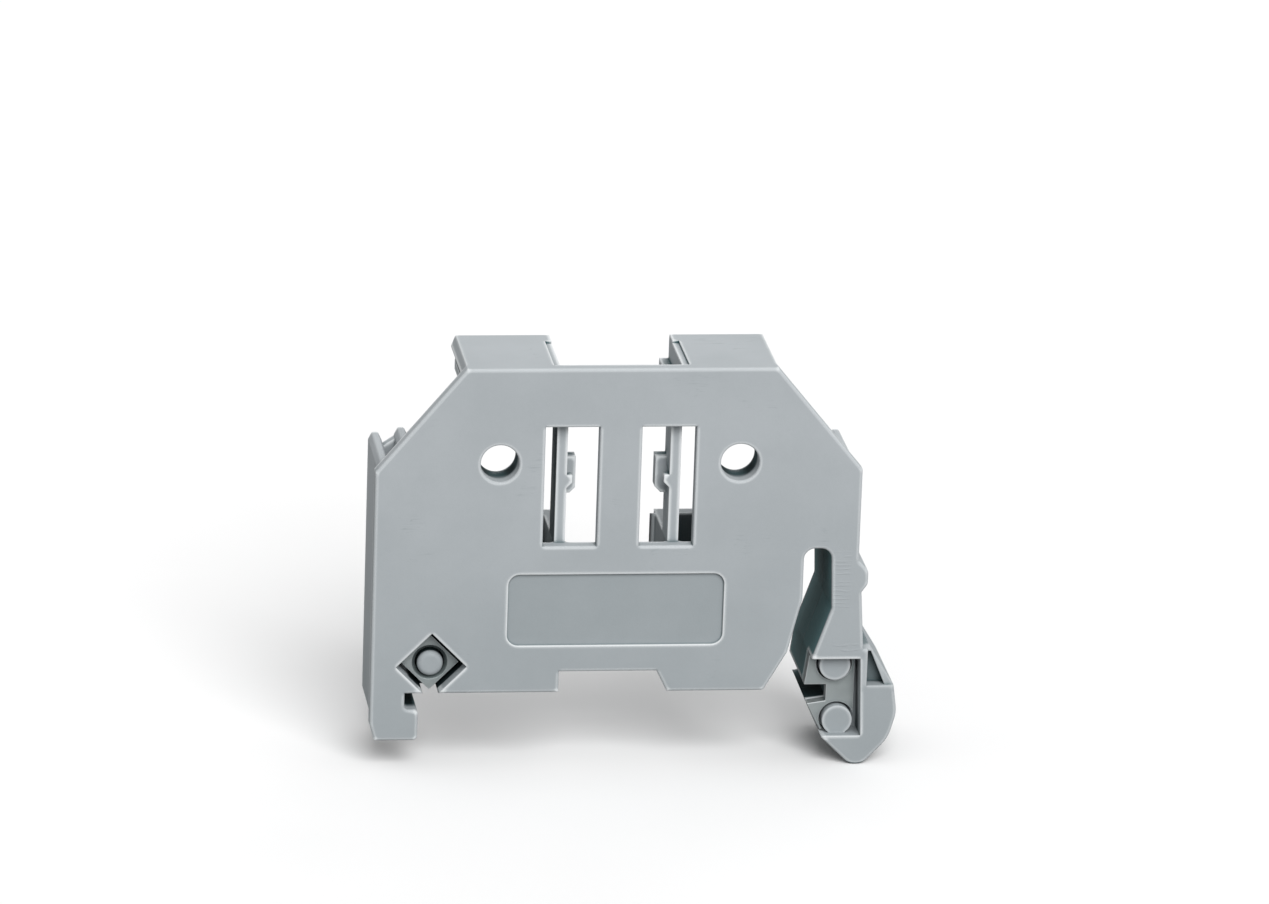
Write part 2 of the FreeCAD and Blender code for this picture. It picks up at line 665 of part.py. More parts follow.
def cut_foot_cores(build, s):
    """The screwdriver pocket in front and the cores at the back of the two feet."""
    inner = s.recess_right_low + s.lever_side
    sketch = build.sketch("lever_step_face")
    build.box(sketch, inner, s.heel_top_height, s.heel_out, s.lever_top_height)
    build.pocket("lever_step", sketch, s.lever_step)
    lever = [
        (inner, s.heel_top_height),
        (s.heel_top_across - s.lever_wall, s.heel_top_height),
        (s.lever_top_across, s.lever_top_height - s.lever_rim),
        (inner, s.lever_top_height - s.lever_rim),
    ]
    build.pocket("lever_pocket", build.outline(build.sketch("lever_face"), lever), s.lever_depth)
    side = s.half_width - s.side_step - s.core_wall
    behind = s.clamp_inset + s.clamp_thick + s.rock_gap + s.core_wall
    core_depth = s.body_depth - behind
    lip_left, lip_right = rail_side(s)
    sketch = build.sketch("core_faces", s.body_depth)
    core_inner = -s.cell_wall_across - s.wall_thick
    core_top = s.cell_floor - s.core_wall
    hook_core = [(-side, s.core_wall), (core_inner, s.core_wall), (core_inner, core_top), (-side, core_top)]
    build.outline(sketch, hook_core)
    foot = [
        (lip_right + s.core_wall, -s.lip_gap - s.core_wall),
        (s.toe_left, -s.toe_drop + s.toe_wall),
        (s.heel_low_across - s.core_wall, -s.heel_low_drop + s.heel_wall),
        (s.heel_out - s.core_wall, -s.heel_drop),
        (s.heel_top_across - s.core_wall, s.heel_top_height - s.core_wall),
        (lip_right + s.core_wall, s.heel_top_height - s.core_wall),
    ]
    build.outline(sketch, foot)
    build.pocket("rear_cores", sketch, core_depth, away=True)
    build.round("core_corners", s.core_round, hook_core + foot, behind, s.body_depth)


def round_corners(build, s):
    """The soft corners that run the whole depth."""
    lip_left, lip_right = rail_side(s)
    gap_outer = s.gap_inner + s.gap_width
    gap_top = s.deck_height - s.gap_crown
    gap = [(s.gap_inner, gap_top), (gap_outer, gap_top)]
    build.round("gap_top_round", s.gap_round, gap, ZERO, s.body_depth)
    toes = [(s.toe_left, -s.toe_drop), (s.toe_left + s.toe_width, -s.toe_drop)]
    build.round("toe_round", s.foot_round, toes, ZERO, s.body_depth)
    heels = [(s.heel_out, -s.heel_drop), (s.heel_low_across, -s.heel_low_drop)]
    build.round("heel_rounds", s.heel_round, heels, ZERO, s.body_depth)
    knees = [
        (s.gap_low_across, s.gap_low_height),
        (s.gap_inner, s.gap_knee_height),
        (gap_outer + s.arm_knee_step, s.arm_knee_height),
    ]
    build.round("knees", s.knee_round, knees, ZERO, s.body_depth)
    bump = [(s.half_width + s.bump_reach, level) for level in bump_levels(s)[1:]]
    build.round("bump_corners", s.bump_round, bump, ZERO, s.body_depth)
    hook_inner = lip_left + s.hook_reach
    hook = [
        (hook_inner, -s.hook_drop),
        (hook_inner, -s.lip_gap),
        (lip_left, -s.lip_gap),
        (s.seat_end, ZERO),
    ]
    build.round("hook_corners", s.edge_round, hook, ZERO, s.body_depth)
    rim = build.front_edges(-s.half_width, -s.toe_drop, s.heel_out, s.top_height)
    build.round_edges("plate_rim", s.rim_round, rim)


def make_housing(doc, s):
    """The moulded housing."""
    build = Builder(doc, "housing")
    add_plate(build, s)
    add_lower_body(build, s)
    round_corners(build, s)
    add_marker_slots(build, s)
    add_tag_rails(build, s)
    add_uprights(build, s)
    add_holes(build, s)
    cut_windows(build, s)
    cut_label_panel(build, s)
    cut_cells(build, s)
    cut_clamp_pockets(build, s)
    cut_foot_cores(build, s)
    return build.body


def make_square_plate(doc, s):
    """The square clamping plate, standing on one corner, with its countersunk hole."""
    build = Builder(doc, "left_clamping_plate")
    points = [
        (s.square_across - s.square_half, s.square_height),
        (s.square_across, s.square_height - s.square_half),
        (s.square_across + s.square_half, s.square_height),
        (s.square_across, s.square_height + s.square_half),
    ]
    build.pad("square", build.outline(build.sketch("square_face", s.clamp_inset), points), s.clamp_thick)
    hole = s.square_peg_radius + s.square_peg_play
    sketch = build.circle(build.sketch("hole_face", s.clamp_inset), s.square_across, s.square_height, hole)
    build.pocket("peg_hole", sketch, s.clamp_thick)
    rim = build.circle_edges([(s.square_across, s.square_height)], hole, s.clamp_inset)
    build.round_edges("countersink", s.square_ring, rim, "Chamfer")
    return build.body


def make_notched_plate(doc, s):
    """The notched clamping plate, between the two pegs of the snap foot."""
    build = Builder(doc, "right_clamping_plate")
    lip_right = rail_side(s)[1]
    top = s.jaw_roof - s.jaw_play
    bottom = -s.recess_drop + s.jaw_play
    points = [
        (s.jaw_shoulder, top),
        (s.jaw_tip, ZERO),
        (lip_right - s.jaw_play, ZERO),
        (lip_right - s.jaw_play, -s.lip_gap),
        (s.catch_tip, -s.lip_gap - s.catch_slant),
        (s.foot_throat_across, bottom),
        (s.lower_peg_across, bottom),
        (s.jaw_right, -s.lower_peg_drop),
        (s.jaw_right, top),
    ]
    build.pad("notched", build.outline(build.sketch("notched_face", s.clamp_inset), points), s.clamp_thick)
    sketch = build.sketch("peg_cut_faces", s.clamp_inset)
    build.circle(sketch, s.upper_peg_across, s.upper_peg_height, s.upper_peg_radius + s.peg_play)
    build.circle(sketch, s.lower_peg_across, -s.lower_peg_drop, s.lower_peg_radius + s.peg_play)
    build.pocket("peg_cuts", sketch, s.clamp_thick)
    return build.body


def check(doc, pieces):
    """Stops if any object failed or any piece isn't one valid solid."""
    for item in doc.Objects:
        if "Invalid" in item.State or "Error" in item.State:
            raise RuntimeError(f"{item.Name} is {item.State}")
    for piece in pieces:
        shape = piece.Shape
        if shape.isNull() or not shape.isValid() or len(shape.Solids) != 1:
            raise RuntimeError(f"{piece.Label} isn't one valid solid")


def main():
    doc = FreeCAD.newDocument("end_stop")
    s = make_sheet(doc)
    pieces = [make_housing(doc, s), make_square_plate(doc, s), make_notched_plate(doc, s)]
    doc.recompute()
    check(doc, pieces)
    os.makedirs("parts", exist_ok=True)
    for piece in pieces:
        piece.Shape.exportStep(os.path.join("parts", f"{piece.Label}.step"))
        box = piece.Shape.BoundBox
        print(f"{piece.Label}: volume {piece.Shape.Volume:.1f} mm3, box {box}")


main()
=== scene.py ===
"""Looks, light and camera of a DIN rail end stop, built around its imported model.

The end stop is one grey moulding with two loose clamping plates in its front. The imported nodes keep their
shape. This script gives each of them its finish, adds the fine marks that the mould's ejector pins leave,
and sets the floor, the lamps and the camera.
"""

import logging
import math
from collections.abc import Callable, Iterator
from contextlib import contextmanager
from dataclasses import dataclass, field
from enum import Enum
from typing import Self

import bpy
from mathutils import Matrix, Vector


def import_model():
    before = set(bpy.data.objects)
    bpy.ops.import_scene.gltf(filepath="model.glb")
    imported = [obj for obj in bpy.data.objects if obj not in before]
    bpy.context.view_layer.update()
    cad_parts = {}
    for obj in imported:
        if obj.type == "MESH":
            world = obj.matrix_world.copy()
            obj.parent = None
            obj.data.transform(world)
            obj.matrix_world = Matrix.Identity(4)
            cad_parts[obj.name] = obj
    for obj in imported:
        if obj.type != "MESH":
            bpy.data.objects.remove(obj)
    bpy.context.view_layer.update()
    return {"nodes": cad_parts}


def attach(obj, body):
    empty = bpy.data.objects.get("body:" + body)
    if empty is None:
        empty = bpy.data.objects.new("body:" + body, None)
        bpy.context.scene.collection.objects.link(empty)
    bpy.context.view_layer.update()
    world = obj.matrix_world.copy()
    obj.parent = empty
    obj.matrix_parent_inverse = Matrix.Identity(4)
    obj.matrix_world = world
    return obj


LOG = logging.getLogger("end_stop")
MM = 0.001

Socket = bpy.types.NodeSocket
Node = bpy.types.Node
Point = tuple[float, float, float]
Colour = tuple[float, float, float]
Setting = float | Point | Socket


class Body(Enum):
    """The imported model's body that the new piece rides on."""

    HOUSING = "housing_body"


class CadNode(Enum):
    """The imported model's nodes."""

    HOUSING = "housing"
    LEFT_PLATE = "left_clamping_plate"
    RIGHT_PLATE = "right_clamping_plate"


class Slot(Enum):
    """The record's material slot of the moulding."""

    MOULDING = "moulding"


class Maths(Enum):
    """The operations of Blender's Math node that the finishes use."""

    ADD = "ADD"
    SUBTRACT = "SUBTRACT"
    MULTIPLY = "MULTIPLY"
    DIVIDE = "DIVIDE"
    ABSOLUTE = "ABSOLUTE"
    MAXIMUM = "MAXIMUM"
    SINE = "SINE"


class Kind(Enum):
    """The kinds of value that a node group takes and gives."""

    NUMBER = "NodeSocketFloat"
    VECTOR = "NodeSocketVector"


class Lobe(Enum):
    """The part a lamp plays in the studio."""

    KEY = "key"
    FILL = "fill"


class Graph:
    """A node tree with short ways to add nodes and to join them."""

    def __init__(self, tree: bpy.types.NodeTree) -> None:
        """Takes the tree that the nodes go into.

        Args:
            tree: A material's, a world's or a group's node tree.
        """
        self.tree = tree

    def add(self, kind: str, **inputs: Setting) -> Node:
        """Adds a node and sets or joins its inputs.

        Args:
            kind: The node's Blender type.
            **inputs: A value or a socket for each input, named with underscores for spaces.

        Returns:
            The new node.
        """
        return self.fill(self.tree.nodes.new(kind), inputs)

    def effect(self, group: bpy.types.NodeTree, **inputs: Setting) -> Node:
        """Places one of the shared effects.

        Args:
            group: The effect's node group.
            **inputs: A value or a socket for each of its inputs, named with underscores for spaces.

        Returns:
            The group's node.
        """
        node = self.tree.nodes.new("ShaderNodeGroup")
        node.node_tree = group
        return self.fill(node, inputs)

    def fill(self, node: Node, inputs: dict[str, Setting]) -> Node:
        """Sets or joins a node's inputs.

        Args:
            node: The node.
            inputs: A value or a socket for each input's name, with underscores for spaces.

        Returns:
            The same node.
        """
        for name, value in inputs.items():
            self.feed(node.inputs[name.replace("_", " ")], value)
        return node

    def feed(self, target: Socket, value: Setting) -> None:
        """Joins a socket to an input, or sets the input to a value.

        Args:
            target: The input.
            value: A socket, a number, or three numbers.
        """
        if isinstance(value, bpy.types.NodeSocket):
            self.tree.links.new(value, target)
        elif target.type == "RGBA":
            target.default_value = (*value, 1.0)
        else:
            target.default_value = value

    def maths(self, operation: Maths, first: Setting, second: Setting = 0.0) -> Socket:
        """Adds a Math node.

        Args:
            operation: What it works out.
            first: Its first value.
            second: Its second value, where it has one.

        Returns:
            The result.
        """
        node = self.tree.nodes.new("ShaderNodeMath")
        node.operation = operation.value
        self.feed(node.inputs[0], first)
        self.feed(node.inputs[1], second)
        return node.outputs[0]

    def ramp(
        self, value: Setting, start: Setting, end: Setting, low: Setting = 0.0, high: Setting = 1.0
    ) -> Socket:
        """Turns a range of values smoothly into another one.

        Args:
            value: What is turned.
            start: The value that gives low.
            end: The value that gives high.
            low: The result at start and before it.
            high: The result at end and after it.

        Returns:
            The result.
        """
        node = self.add("ShaderNodeMapRange", Value=value, From_Min=start, From_Max=end,
                        To_Min=low, To_Max=high)
        node.interpolation_type = "SMOOTHSTEP"
        return node.outputs["Result"]

    def between(self, mask: Setting, low: Setting, high: Setting) -> Socket:
        """Turns a mask into a value.

        Args:
            mask: The mask, from 0 to 1.
            low: The value where the mask is 0.
            high: The value where the mask is 1.

        Returns:
            The value.
        """
        return self.ramp(mask, 0.0, 1.0, low, high)

    def outside(self, mask: Setting) -> Socket:
        """Gives the mask of what a mask leaves out."""
        return self.maths(Maths.SUBTRACT, 1.0, mask)

    def strongest(self, *masks: Setting) -> Setting:
        """Joins masks.

        Args:
            *masks: The masks.

        Returns:
            The strongest of them at each place.
        """
        joined = masks[0]
        for mask in masks[1:]:
            joined = self.maths(Maths.MAXIMUM, joined, mask)
        return joined

    def blend(self, share: float, first: Socket, second: Socket) -> Socket:
        """Adds up two values by their shares.

        Args:
            share: The share of the second value. The first one has the rest.
            first: The first value.
            second: The second value.

        Returns:
            The sum.
        """
        rest = self.maths(Maths.MULTIPLY, first, 1.0 - share)
        return self.maths(Maths.ADD, rest, self.maths(Maths.MULTIPLY, second, share))

    def colour(self, share: Socket, low: Setting, high: Setting) -> Socket:
        """Mixes two colours.

        Args:
            share: The share of the second, from 0 to 1.
            low: The first colour.
            high: The second colour.

        Returns:
            The mixed colour.
        """
        node = self.tree.nodes.new("ShaderNodeMix")
        node.data_type = "RGBA"
        for name, value in (("Factor_Float", share), ("A_Color", low), ("B_Color", high)):
            self.feed(next(i for i in node.inputs if i.identifier == name), value)
        return next(o for o in node.outputs if o.identifier == "Result_Color")

    def noise(
        self, place: Socket, scale: Setting = 1.0, detail: float = 2.0, roughness: float = 0.5
    ) -> Socket:
        """Adds a Noise Texture.

        Args:
            place: Where it is read.
            scale: How many of its lumps fit in a unit of place.
            detail: Its octaves.
            roughness: How strong the fine octaves are.

        Returns:
            Its value, from 0 to 1.
        """
        node = self.add("ShaderNodeTexNoise", Vector=place, Scale=scale, Detail=detail, Roughness=roughness)
        return node.outputs["Factor" if "Factor" in node.outputs else "Fac"]

    def stretched(self, place: Socket, scale: Point) -> Socket:
        """Scales a place, so that a pattern read there is stretched.

        Args:
            place: The place.
            scale: The factor along each axis.

        Returns:
            The scaled place.
        """
        return self.add("ShaderNodeMapping", Vector=place, Scale=scale).outputs["Vector"]

    def apart(self, place: Socket) -> tuple[Socket, Socket, Socket]:
        """Splits a place.

        Args:
            place: The place.

        Returns:
            Its X, Y and Z.
        """
        node = self.add("ShaderNodeSeparateXYZ", Vector=place)
        return node.outputs["X"], node.outputs["Y"], node.outputs["Z"]


def start_group(name: str, takes: dict[str, Kind], gives: dict[str, Kind]) -> tuple[Graph, Node, Node]:
    """Makes an empty node group with its sockets.

    Args:
        name: The group's name.
        takes: The kind of each input.
        gives: The kind of each output.

    Returns:
        The group's graph, its input node and its output node.
    """
    tree = bpy.data.node_groups.new(name, "ShaderNodeTree")
    for in_out, sockets in (("INPUT", takes), ("OUTPUT", gives)):
        for label, kind in sockets.items():
            tree.interface.new_socket(label, in_out=in_out, socket_type=kind.value)
    graph = Graph(tree)
    return graph, graph.add("NodeGroupInput"), graph.add("NodeGroupOutput")


@dataclass(frozen=True)
class SoftEdge:
    """The small radius that a tool leaves on each edge, and a pale line along the outer edges: a painted
    highlight, which on the zinc also stands for wear.

    Under the surface, the open share falls near an outer edge. The painted highlight starts at the first
    of the two thresholds below, and is full at the second.
    """

    samples: int = 8
    edge_highlight_from: float = 0.90
    edge_highlight_to: float = 0.52

    def build(self) -> bpy.types.NodeTree:
        """Makes the node group.

        Returns:
            A group that gives the rounded normal and a mask of the outer edges.
        """
        graph, takes, gives = start_group(
            "soft_edge",
            {"Radius": Kind.NUMBER, "Rub width": Kind.NUMBER},
            {"Normal": Kind.VECTOR, "Mask": Kind.NUMBER},
        )
        bevel = graph.add("ShaderNodeBevel", Radius=takes.outputs["Radius"])
        bevel.samples = self.samples
        graph.feed(gives.inputs["Normal"], bevel.outputs["Normal"])
        # The mask of the painted edge highlight.
        within = graph.add("ShaderNodeAmbientOcclusion", Distance=takes.outputs["Rub width"])
        within.samples = self.samples
        within.inside = True
        graph.feed(gives.inputs["Mask"], graph.ramp(within.outputs["AO"], self.edge_highlight_from, self.edge_highlight_to))
        return graph.tree


@dataclass(frozen=True)
class Recess:
    """How closed in a place is, for painted shade in corners and in deep recesses."""

    samples: int = 8

    def build(self) -> bpy.types.NodeTree:
        """Makes the node group.

        Returns:
            A group that gives the open share of the sky within a reach in metres.
        """
        graph, takes, gives = start_group("recess", {"Reach": Kind.NUMBER}, {"Sky": Kind.NUMBER})
        sky = graph.add("ShaderNodeAmbientOcclusion", Distance=takes.outputs["Reach"])
        sky.samples = self.samples
        graph.feed(gives.inputs["Sky"], sky.outputs["AO"])
        return graph.tree


@dataclass(frozen=True)
class SparkGrain:
    """The fine grain of a spark-eroded mould, over coarser lumps."""

    detail: float = 3.0
    roughness: float = 0.62
    lump_scale: float = 0.28
    lump_share: float = 0.35
    low: float = 0.30
    high: float = 0.70

    def build(self) -> bpy.types.NodeTree:
        """Makes the node group.

        Returns:
            A group that gives a height and a tone for a place in millimetres.
        """
        graph, takes, gives = start_group(
            "spark_grain",
            {"Place": Kind.VECTOR, "Grains per mm": Kind.NUMBER},
            {"Height": Kind.NUMBER, "Tone": Kind.NUMBER},
        )
        place, grains = takes.outputs["Place"], takes.outputs["Grains per mm"]
        fine = graph.noise(place, grains, self.detail, self.roughness)
        lumps = graph.noise(place, graph.maths(Maths.MULTIPLY, grains, self.lump_scale))
        height = graph.blend(self.lump_share, fine, lumps)
        graph.feed(gives.inputs["Height"], height)
        graph.feed(gives.inputs["Tone"], graph.ramp(height, self.low, self.high))
        return graph.tree


@dataclass(frozen=True)
class ToneDrift:
    """The slow change of tone over a moulded or plated face."""

    detail: float = 3.0
    roughness: float = 0.55
    low: float = 0.32
    high: float = 0.68

    def build(self) -> bpy.types.NodeTree:
        """Makes the node group.

        Returns:
            A group that gives a tone for a place in millimetres.
        """
        graph, takes, gives = start_group(
            "tone_drift", {"Place": Kind.VECTOR, "Patch size": Kind.NUMBER}, {"Tone": Kind.NUMBER}
        )
        scale = graph.maths(Maths.DIVIDE, 1.0, takes.outputs["Patch size"])
        drift = graph.noise(takes.outputs["Place"], scale, self.detail, self.roughness)
        graph.feed(gives.inputs["Tone"], graph.ramp(drift, self.low, self.high))
        return graph.tree


@dataclass(frozen=True)
class Scratches:
    """Sparse fine scuffs that run mostly one way.

    A scuff is where a stretched noise crosses its middle value. It shows only inside the fields of a coarse
    noise, from field_from, and fully at field_to.
    """

    stretch: Point = (0.35, 0.9, 4.6)
    detail: float = 1.0
    roughness: float = 0.4
    middle: float = 0.5
    width: float = 0.026
    field_scale: float = 0.21
    field_from: float = 0.70
    field_to: float = 0.82

    def build(self) -> bpy.types.NodeTree:
        """Makes the node group.

        Returns:
            A group that gives a mask for a place in millimetres.
        """
        graph, takes, gives = start_group(
            "scratches", {"Place": Kind.VECTOR, "Share": Kind.NUMBER}, {"Mask": Kind.NUMBER}
        )
        place = takes.outputs["Place"]
        drawn = graph.stretched(place, self.stretch)
        lines = graph.noise(drawn, detail=self.detail, roughness=self.roughness)
        off = graph.maths(Maths.ABSOLUTE, graph.maths(Maths.SUBTRACT, lines, self.middle))
        thin = graph.ramp(off, self.width, 0.0)
        coarse = graph.maths(Maths.ADD, graph.noise(place, self.field_scale), takes.outputs["Share"])
        fields = graph.ramp(coarse, self.field_from, self.field_to)
        graph.feed(gives.inputs["Mask"], graph.maths(Maths.MULTIPLY, thin, fields))
        return graph.tree


@dataclass(frozen=True)
class SoftBox:
    """A box with soft edges. The search for its nearest side starts from far inside it."""

    far_inside: float = -1000.0

    def build(self) -> bpy.types.NodeTree:
        """Makes the node group.

        Returns:
            A group that gives the mask for a place, a box and a softness in millimetres.
        """
        graph, takes, gives = start_group(
            "soft_box",
            {"Place": Kind.VECTOR, "Middle": Kind.VECTOR, "Half size": Kind.VECTOR, "Softness": Kind.NUMBER},
            {"Mask": Kind.NUMBER},
        )
        places, middles, halves = (graph.apart(takes.outputs[n]) for n in ("Place", "Middle", "Half size"))
        outwards: Setting = self.far_inside
        for at, middle, half in zip(places, middles, halves):
            off = graph.maths(Maths.ABSOLUTE, graph.maths(Maths.SUBTRACT, at, middle))
            outwards = graph.strongest(outwards, graph.maths(Maths.SUBTRACT, off, half))
        full = graph.maths(Maths.SUBTRACT, 0.0, takes.outputs["Softness"])
        graph.feed(gives.inputs["Mask"], graph.ramp(outwards, 0.0, full))
        return graph.tree


@dataclass(frozen=True)
class FlexLines:
    """The fine level lines that bending leaves across a thin arm, wobbly and broken here and there."""

    wobble_stretch: Point = (0.5, 0.5, 1.6)
    wobble: float = 9.0
    crest_from: float = 0.2
    crest_to: float = 0.9
    break_stretch: Point = (1.1, 1.1, 3.2)
    break_detail: float = 1.0
    break_from: float = 0.36
    break_to: float = 0.56

    def build(self) -> bpy.types.NodeTree:
        """Makes the node group.

        Returns:
            A group that gives a height for a place in millimetres.
        """
        graph, takes, gives = start_group(
            "flex_lines", {"Place": Kind.VECTOR, "Lines per mm": Kind.NUMBER}, {"Height": Kind.NUMBER}
        )
        place = takes.outputs["Place"]
        turn = graph.maths(Maths.MULTIPLY, takes.outputs["Lines per mm"], 2.0 * math.pi)
        steady = graph.maths(Maths.MULTIPLY, graph.apart(place)[2], turn)
        wobble = graph.noise(graph.stretched(place, self.wobble_stretch))
        phase = graph.maths(Maths.ADD, steady, graph.maths(Maths.MULTIPLY, wobble, self.wobble))
        crests = graph.ramp(graph.maths(Maths.SINE, phase), self.crest_from, self.crest_to)
        breaks = graph.noise(graph.stretched(place, self.break_stretch), detail=self.break_detail)
        shown = graph.ramp(breaks, self.break_from, self.break_to)
        graph.feed(gives.inputs["Height"], graph.maths(Maths.MULTIPLY, crests, shown))
        return graph.tree


class SharedEffects:
    """The node groups that the finishes use, each built once."""

    def __init__(self) -> None:
        """Builds the groups."""
        self.soft_edge = SoftEdge().build()
        self.recess = Recess().build()
        self.spark_grain = SparkGrain().build()
        self.tone_drift = ToneDrift().build()
        self.scratches = Scratches().build()
        self.soft_box = SoftBox().build()
        self.flex_lines = FlexLines().build()


@dataclass(frozen=True)
class Patch:
    """A box on a piece, in millimetres, where something happens to the surface by a share."""

    middle: Point
    half_size: Point
    softness: float
    share: float = 1.0

    @classmethod
    def pair(cls, middle: Point, half_size: Point, softness: float, share: float = 1.0) -> tuple[Self, Self]:
        """Makes a patch and its mirror image across the part's middle.

        Args:
            middle: The first patch's middle.
            half_size: Half the size of both.
            softness: How wide their edges are.
            share: Their share.

        Returns:
            Both patches.
        """
        mirrored = (-middle[0], middle[1], middle[2])
        return cls(middle, half_size, softness, share), cls(mirrored, half_size, softness, share)


@dataclass(frozen=True)
class Coat:
    """A material in the making, with what its finish needs to build it. Its place is in millimetres."""

    material: bpy.types.Material
    graph: Graph
    shader: Node
    place: Socket
    effects: SharedEffects

    @classmethod
    def start(cls, name: str, effects: SharedEffects) -> Self:
        """Makes a material with a Principled shader and a place in millimetres.

        Args:
            name: The material's name.
            effects: The shared node groups.

        Returns:
            The coat.
        """
        material = bpy.data.materials.new(name)
        material.use_nodes = True
        graph = Graph(material.node_tree)
        shader = next(n for n in graph.tree.nodes if n.type == "BSDF_PRINCIPLED")
        metres = graph.tree.nodes.new("ShaderNodeTexCoord").outputs["Object"]
        return cls(material, graph, shader, graph.stretched(metres, (1.0 / MM,) * 3), effects)

    def mask(self, *patches: Patch) -> Setting:
        """Adds the masks of some patches.

        Args:
            *patches: The patches.

        Returns:
            The share of the strongest patch at each place, and 0 outside them all.
        """
        masks = []
        for patch in patches:
            box = self.graph.effect(self.effects.soft_box, Place=self.place, Middle=patch.middle,
                                    Half_size=patch.half_size, Softness=patch.softness)
            masks.append(self.graph.maths(Maths.MULTIPLY, box.outputs["Mask"], patch.share))
        return self.graph.strongest(*masks)

    def sky(self, reach: float, start: float, end: float) -> Socket:
        """Adds a mask of closed-in places.

        Args:
            reach: How far a place looks for walls, in metres.
            start: The open share of the sky where the mask starts.
            end: The open share of the sky where it is full.

        Returns:
            The mask.
        """
        open_share = self.graph.effect(self.effects.recess, Reach=reach).outputs["Sky"]
        return self.graph.ramp(open_share, start, end)

    def roughness(self, tone: Socket, middle: float, spread: float) -> Socket:
        """Adds a roughness that follows a tone.

        Args:
            tone: The tone, from 0 to 1.
            middle: The roughness at its middle.
            spread: How far it goes to either side.

        Returns:
            The roughness.
        """
        return self.graph.between(tone, middle - spread, middle + spread)


